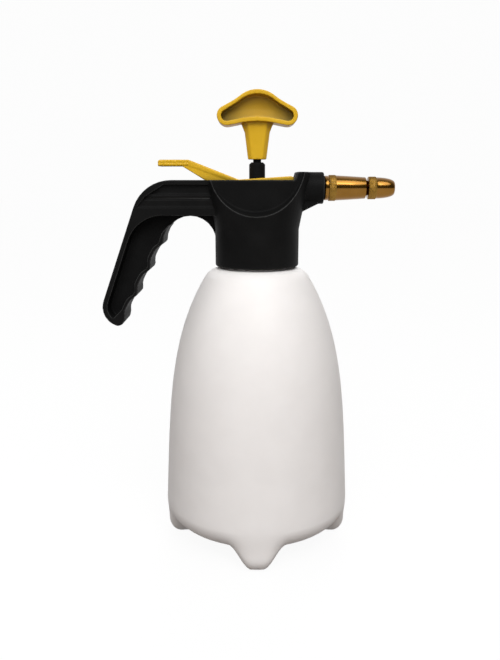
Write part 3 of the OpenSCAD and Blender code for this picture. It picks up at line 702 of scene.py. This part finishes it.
head_form = softened("head_shell", "head_housing", voxel=0.5, rounds=3, faces=120000)
add_piece("head_shell", head_form, "head", "black_plastic", EDGE_HIGHLIT_BLACK, "head_housing")
lever_form = softened("thumb_lever", "trigger_lever", voxel=0.45, rounds=4, faces=30000)
add_piece("thumb_lever", lever_form, "lever", "yellow_plastic", YELLOW, "trigger_lever")
handle_form = softened("handle_bar", "pump_handle", voxel=0.5, rounds=6, faces=30000)
add_piece("handle_bar", handle_form, "plunger", "yellow_plastic", YELLOW, "pump_handle")

lever_low, lever_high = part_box("trigger_lever")
pad_end = lever_low.x + PAD_LEN * MM
pad_under = lever_high.z - PAD_T * MM
lever_form.materials.append(PAD_YELLOW)
for face in lever_form.polygons:
    if face.center.x < pad_end and face.center.z > pad_under:
        face.material_index = 1


# Nozzle and spray tip: turned brass with knurled bands


def turned_x(name, outline, band):
    """Turns (x, r) points about the nozzle's axis, with knurl teeth in a band."""
    start, end, least = band
    columns = TEETH * len(TOOTH_FORM)
    rings = []
    for x, r in outline:
        cut = TOOTH_DEPTH if start < x < end and r > least else 0
        ring = []
        for i in range(columns):
            a = TURN * i / columns
            radius = r - cut * TOOTH_FORM[i % len(TOOTH_FORM)]
            ring.append((x, radius * math.cos(a), NOZZLE_Z + radius * math.sin(a)))
        rings.append(ring)
    return grid_mesh(name, rings, False)


def nozzle_outline():
    """Spigot, hub, knurled band, taper, the stem inside the tip, and the bore."""
    return [
        (NOZZLE_X, BORE_R),
        (NOZZLE_X, SPIGOT_R - NICK),
        (NOZZLE_X + LEAD, SPIGOT_R),
        (HUB_X, SPIGOT_R),
        (HUB_X, HUB_R - 2 * HUB_DROP),
        (HUB_X + EDGE, HUB_R - HUB_DROP),
        (KNURL_X - EDGE, HUB_R - HUB_DROP),
        (KNURL_X, HUB_R - HUB_DROP - LEAD),
        (KNURL_X + STEP, HUB_R - BEVEL),
        (KNURL_X + BEVEL, HUB_R),
        (KNURL_X + KNURL_ROW, HUB_R),
        (KNURL_END - BEVEL, HUB_R),
        (KNURL_END - STEP, HUB_R - EDGE),
        (KNURL_END, HUB_R - EDGE),
        (KNURL_END + TAPER_RUN, HUB_R - TAPER_DROP),
        (GROOVE_X - NOSE_EDGE, NOSE_R),
        (GROOVE_X - NICK, NOSE_R - NICK),
        (GROOVE_X, NOSE_R - NOSE_EDGE),
        (GROOVE_X, STEM_R + LEAD),
        (GROOVE_X + LEAD, STEM_R),
        (FRONT_X - EDGE, STEM_R),
        (FRONT_X, STEM_R - EDGE),
        (FRONT_X, CORE_R),
        (FRONT_X - CORE_DEPTH, CORE_R),
        (FRONT_X - CORE_DEPTH, BORE_R),
    ]


def tip_outline():
    """Knurled band, rounded nose, the jet's hole, and the chamber with its groove."""
    nose_x = TIP_BAND_X + TIP_BEVEL
    half_r = TIP_R * 0.5
    nose = arc(nose_x, half_r, SPRAY_X - nose_x, half_r - NOSE_EDGE, 90, JET_ANGLE, steps=12)
    return [
        (TIP_X, TIP_BORE_R),
        (TIP_X, TIP_R - TIP_LIP),
        (TIP_X + NICK, TIP_R - BEVEL),
        (TIP_X + LEAD, TIP_R - TIP_BEVEL),
        (TIP_X + TIP_LIP, TIP_R),
        (TIP_X + TIP_ROW, TIP_R),
        (TIP_BAND_X - TIP_BEVEL, TIP_R),
        (TIP_BAND_X, TIP_R - TIP_BEVEL),
        *nose,
        (SPRAY_X, JET_R + EDGE),
        (SPRAY_X - EDGE, JET_R),
        (JET_X, JET_R),
        (CHAMBER_X, TIP_BORE_R),
        (TIP_GROOVE_X[1], TIP_BORE_R),
        (TIP_GROOVE_X[1], TIP_GROOVE_R),
        (TIP_GROOVE_X[0], TIP_GROOVE_R),
        (TIP_GROOVE_X[0], TIP_BORE_R),
    ]


nozzle_form = turned_x("nozzle_barrel", nozzle_outline(), NOZZLE_BAND)
add_piece("nozzle_barrel", nozzle_form, "head", "brass", BRASS, "nozzle_body")
tip_form = turned_x("spray_tip", tip_outline(), SPRAY_BAND)
add_piece("spray_tip", tip_form, "tip", "brass", BRASS, "nozzle_tip")

for form, (start, end, least) in ((nozzle_form, NOZZLE_BAND), (tip_form, SPRAY_BAND)):
    form.materials.append(KNURLED)
    for face in form.polygons:
        off_axis = math.hypot(face.center.y, face.center.z - NOZZLE_Z * MM)
        in_band = start * MM < face.center.x < end * MM
        if in_band and off_axis > (least - BAND_SLACK) * MM:
            face.material_index = 1


# Valve spring: a round wire that the lever shortens


def coil_mesh(name):
    """A helix about the nozzle's axis; both ends of the wire are closed."""
    steps = round(SPRING_TURNS * SPRING_STEPS)
    start = SPRING_LOW.x / MM + WIRE_R
    run = (SPRING_HIGH.x - SPRING_LOW.x) / MM - 2 * WIRE_R
    coil_r = SPRING_HIGH.y / MM - WIRE_R
    section = arc(0, 0, WIRE_R, WIRE_R, start=0, end=360, steps=WIRE_SIDES)[:-1]
    rings = []
    for i in range(steps + 1):
        a = TURN * i / SPRING_STEPS
        ring = []
        for x, out in section:
            r = coil_r + out
            along = start + run * i / steps + x
            ring.append((along, r * math.cos(a), NOZZLE_Z + r * math.sin(a)))
        rings.append(ring)
    return grid_mesh(name, rings, True)


spring = add_piece("valve_coil", coil_mesh("valve_coil"), "head", "steel", STEEL, "valve_spring")
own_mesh(spring)


# Pieces that keep their CAD form

FINISHES = {
    BLACK: ("pump_rod", "barrel_cap"),
    NATURAL: ("pump_barrel", "piston", "valve_cage", "dip_tube", "dip_strainer"),
    RUBBER: (
        "neck_gasket",
        "barrel_gasket",
        "piston_oring",
        "check_disc",
        "valve_seal",
        "stem_oring",
        "nozzle_washer",
        "tip_oring",
    ),
    BRASS: ("spray_core",),
    STEEL: ("lever_pin", "valve_stem", "spring_seat"),
}
for finish, names in FINISHES.items():
    for name in names:
        nodes[name].data.materials.clear()
        nodes[name].data.materials.append(finish)


# Studio, in metres: a pale floor, light from above, in front and behind, and a white backdrop

# Floor: the colour that shows, the one that light bounces with, and the share of glow in it
FLOOR_HALF = 8
FLOOR_DROP = 0.05 * MM
FLOOR_SEEN = (0.95, 0.95, 0.95)
FLOOR_BOUNCE = (0.1, 0.068, 0.05)
FLOOR_GLOW = 0.93
FLOOR_ROUGH = 0.9

# World: brightness in front and behind, the Y of the directions between which it changes, and
# the strengths with which it lights and shows; the last one matches the far end of the floor
WORLD_FRONT = 0.1
WORLD_BACK = 1.0
WORLD_TURN = (-0.2, 0.4)
WORLD_LIGHT = 0.34
WORLD_SEEN = 0.979

# Lamps; the front fill and the sun behind make no highlights
SUN_PLACE = (0.3, -0.6, 0.85)
SUN_LIGHT = 1.3
BACK_PLACE = (0.2, 1.5, 0.9)
BACK_LIGHT = 1.3
SUN_SPREAD = 40
BOX_PLACE = (-0.25, -0.85, 1.2)
BOX_AIM = (0, 0, 0.2)
BOX_SIZE = (1.8, 0.42)
BOX_WATTS = 9
FILL_PLACE = (-0.1, -1.5, 0.9)
FILL_AIM = (0, 0, 0.15)
FILL_SIZE = 1.0
FILL_WATTS = 12.4


def larger(tree, first, second):
    """The larger one of two values."""
    most = tree.nodes.new("ShaderNodeMath")
    most.operation = "MAXIMUM"
    tree.links.new(first, most.inputs[0])
    tree.links.new(second, most.inputs[1])
    return most.outputs["Value"]


def seen_rays(tree):
    """1 for rays that show the backdrop straight, mirrored or through a body, 0 for others."""
    rays = tree.nodes.new("ShaderNodeLightPath")
    mirrored = larger(tree, rays.outputs["Is Camera Ray"], rays.outputs["Is Glossy Ray"])
    return larger(tree, mirrored, rays.outputs["Is Transmission Ray"])


def make_floor():
    """A white floor that keeps the object's shadow and throws little light back at it."""
    made = bmesh.new()
    bmesh.ops.create_grid(made, x_segments=4, y_segments=4, size=FLOOR_HALF)
    mesh = new_mesh("floor", made)
    floor = bpy.data.objects.new("floor", mesh)
    floor.location.z = -FLOOR_DROP
    scene.collection.objects.link(floor)
    finish, tree, shader = new_finish("floor_white")
    link = tree.links.new
    seen = seen_rays(tree)
    link(blend(tree, seen, FLOOR_BOUNCE, FLOOR_SEEN, 0, 1), shader.inputs["Base Color"])
    shader.inputs["Roughness"].default_value = FLOOR_ROUGH
    glow = tree.nodes.new("ShaderNodeEmission")
    glow.inputs["Color"].default_value = (1, 1, 1, 1)
    share = tree.nodes.new("ShaderNodeMath")
    share.operation = "MULTIPLY"
    share.inputs[1].default_value = FLOOR_GLOW
    link(seen, share.inputs[0])
    mix = tree.nodes.new("ShaderNodeMixShader")
    link(share.outputs["Value"], mix.inputs["Fac"])
    link(shader.outputs["BSDF"], mix.inputs[1])
    link(glow.outputs["Emission"], mix.inputs[2])
    link(mix.outputs["Shader"], tree.nodes["Material Output"].inputs["Surface"])
    mesh.materials.append(finish)


def make_world():
    """White to look at, dim in front of the object, and with less light than it shows."""
    world = bpy.data.worlds.new("studio")
    world.use_nodes = True
    tree = world.node_tree
    link = tree.links.new
    background = tree.nodes["Background"]
    place = tree.nodes.new("ShaderNodeTexCoord")
    split = tree.nodes.new("ShaderNodeSeparateXYZ")
    link(place.outputs["Generated"], split.inputs["Vector"])
    rays = tree.nodes.new("ShaderNodeLightPath")
    depth = between(tree, split.outputs["Y"], WORLD_FRONT, WORLD_BACK, *WORLD_TURN)
    link(larger(tree, rays.outputs["Is Camera Ray"], depth), background.inputs["Color"])
    strength = between(tree, seen_rays(tree), WORLD_LIGHT, WORLD_SEEN, 0, 1)
    link(strength, background.inputs["Strength"])
    scene.world = world


def add_lamp(kind, name, place, aim):
    """A lamp of one kind at a place, turned to a point; returns its settings."""
    data = bpy.data.lights.new(name, kind)
    lamp = bpy.data.objects.new(name, data)
    lamp.location = place
    lamp.rotation_euler = (Vector(aim) - Vector(place)).to_track_quat("-Z", "Y").to_euler()
    scene.collection.objects.link(lamp)
    return data


make_floor()
make_world()
for name, place, strength in (
    ("soft_sun", SUN_PLACE, SUN_LIGHT),
    ("back_sun", BACK_PLACE, BACK_LIGHT),
):
    sun = add_lamp("SUN", name, place, (0, 0, 0))
    sun.energy = strength
    sun.angle = math.radians(SUN_SPREAD)
box = add_lamp("AREA", "soft_box", BOX_PLACE, BOX_AIM)
box.shape = "RECTANGLE"
box.size, box.size_y = BOX_SIZE
box.energy = BOX_WATTS
fill = add_lamp("AREA", "front_fill", FILL_PLACE, FILL_AIM)
fill.size = FILL_SIZE
fill.energy = FILL_WATTS
for name in ("front_fill", "back_sun"):
    scene.objects[name].visible_glossy = False

camera = bpy.data.objects.new("camera", bpy.data.cameras.new("camera"))
camera.data.sensor_width = SENSOR
camera.data.lens = SENSOR * FOCAL_PIXELS / IMAGE_HEIGHT
camera.location = Vector(CAMERA_PLACE) * MM
camera.rotation_euler = (math.radians(90 - CAMERA_PITCH), 0, 0)
scene.collection.objects.link(camera)
scene.camera = camera
scene.view_settings.view_transform = "Standard"
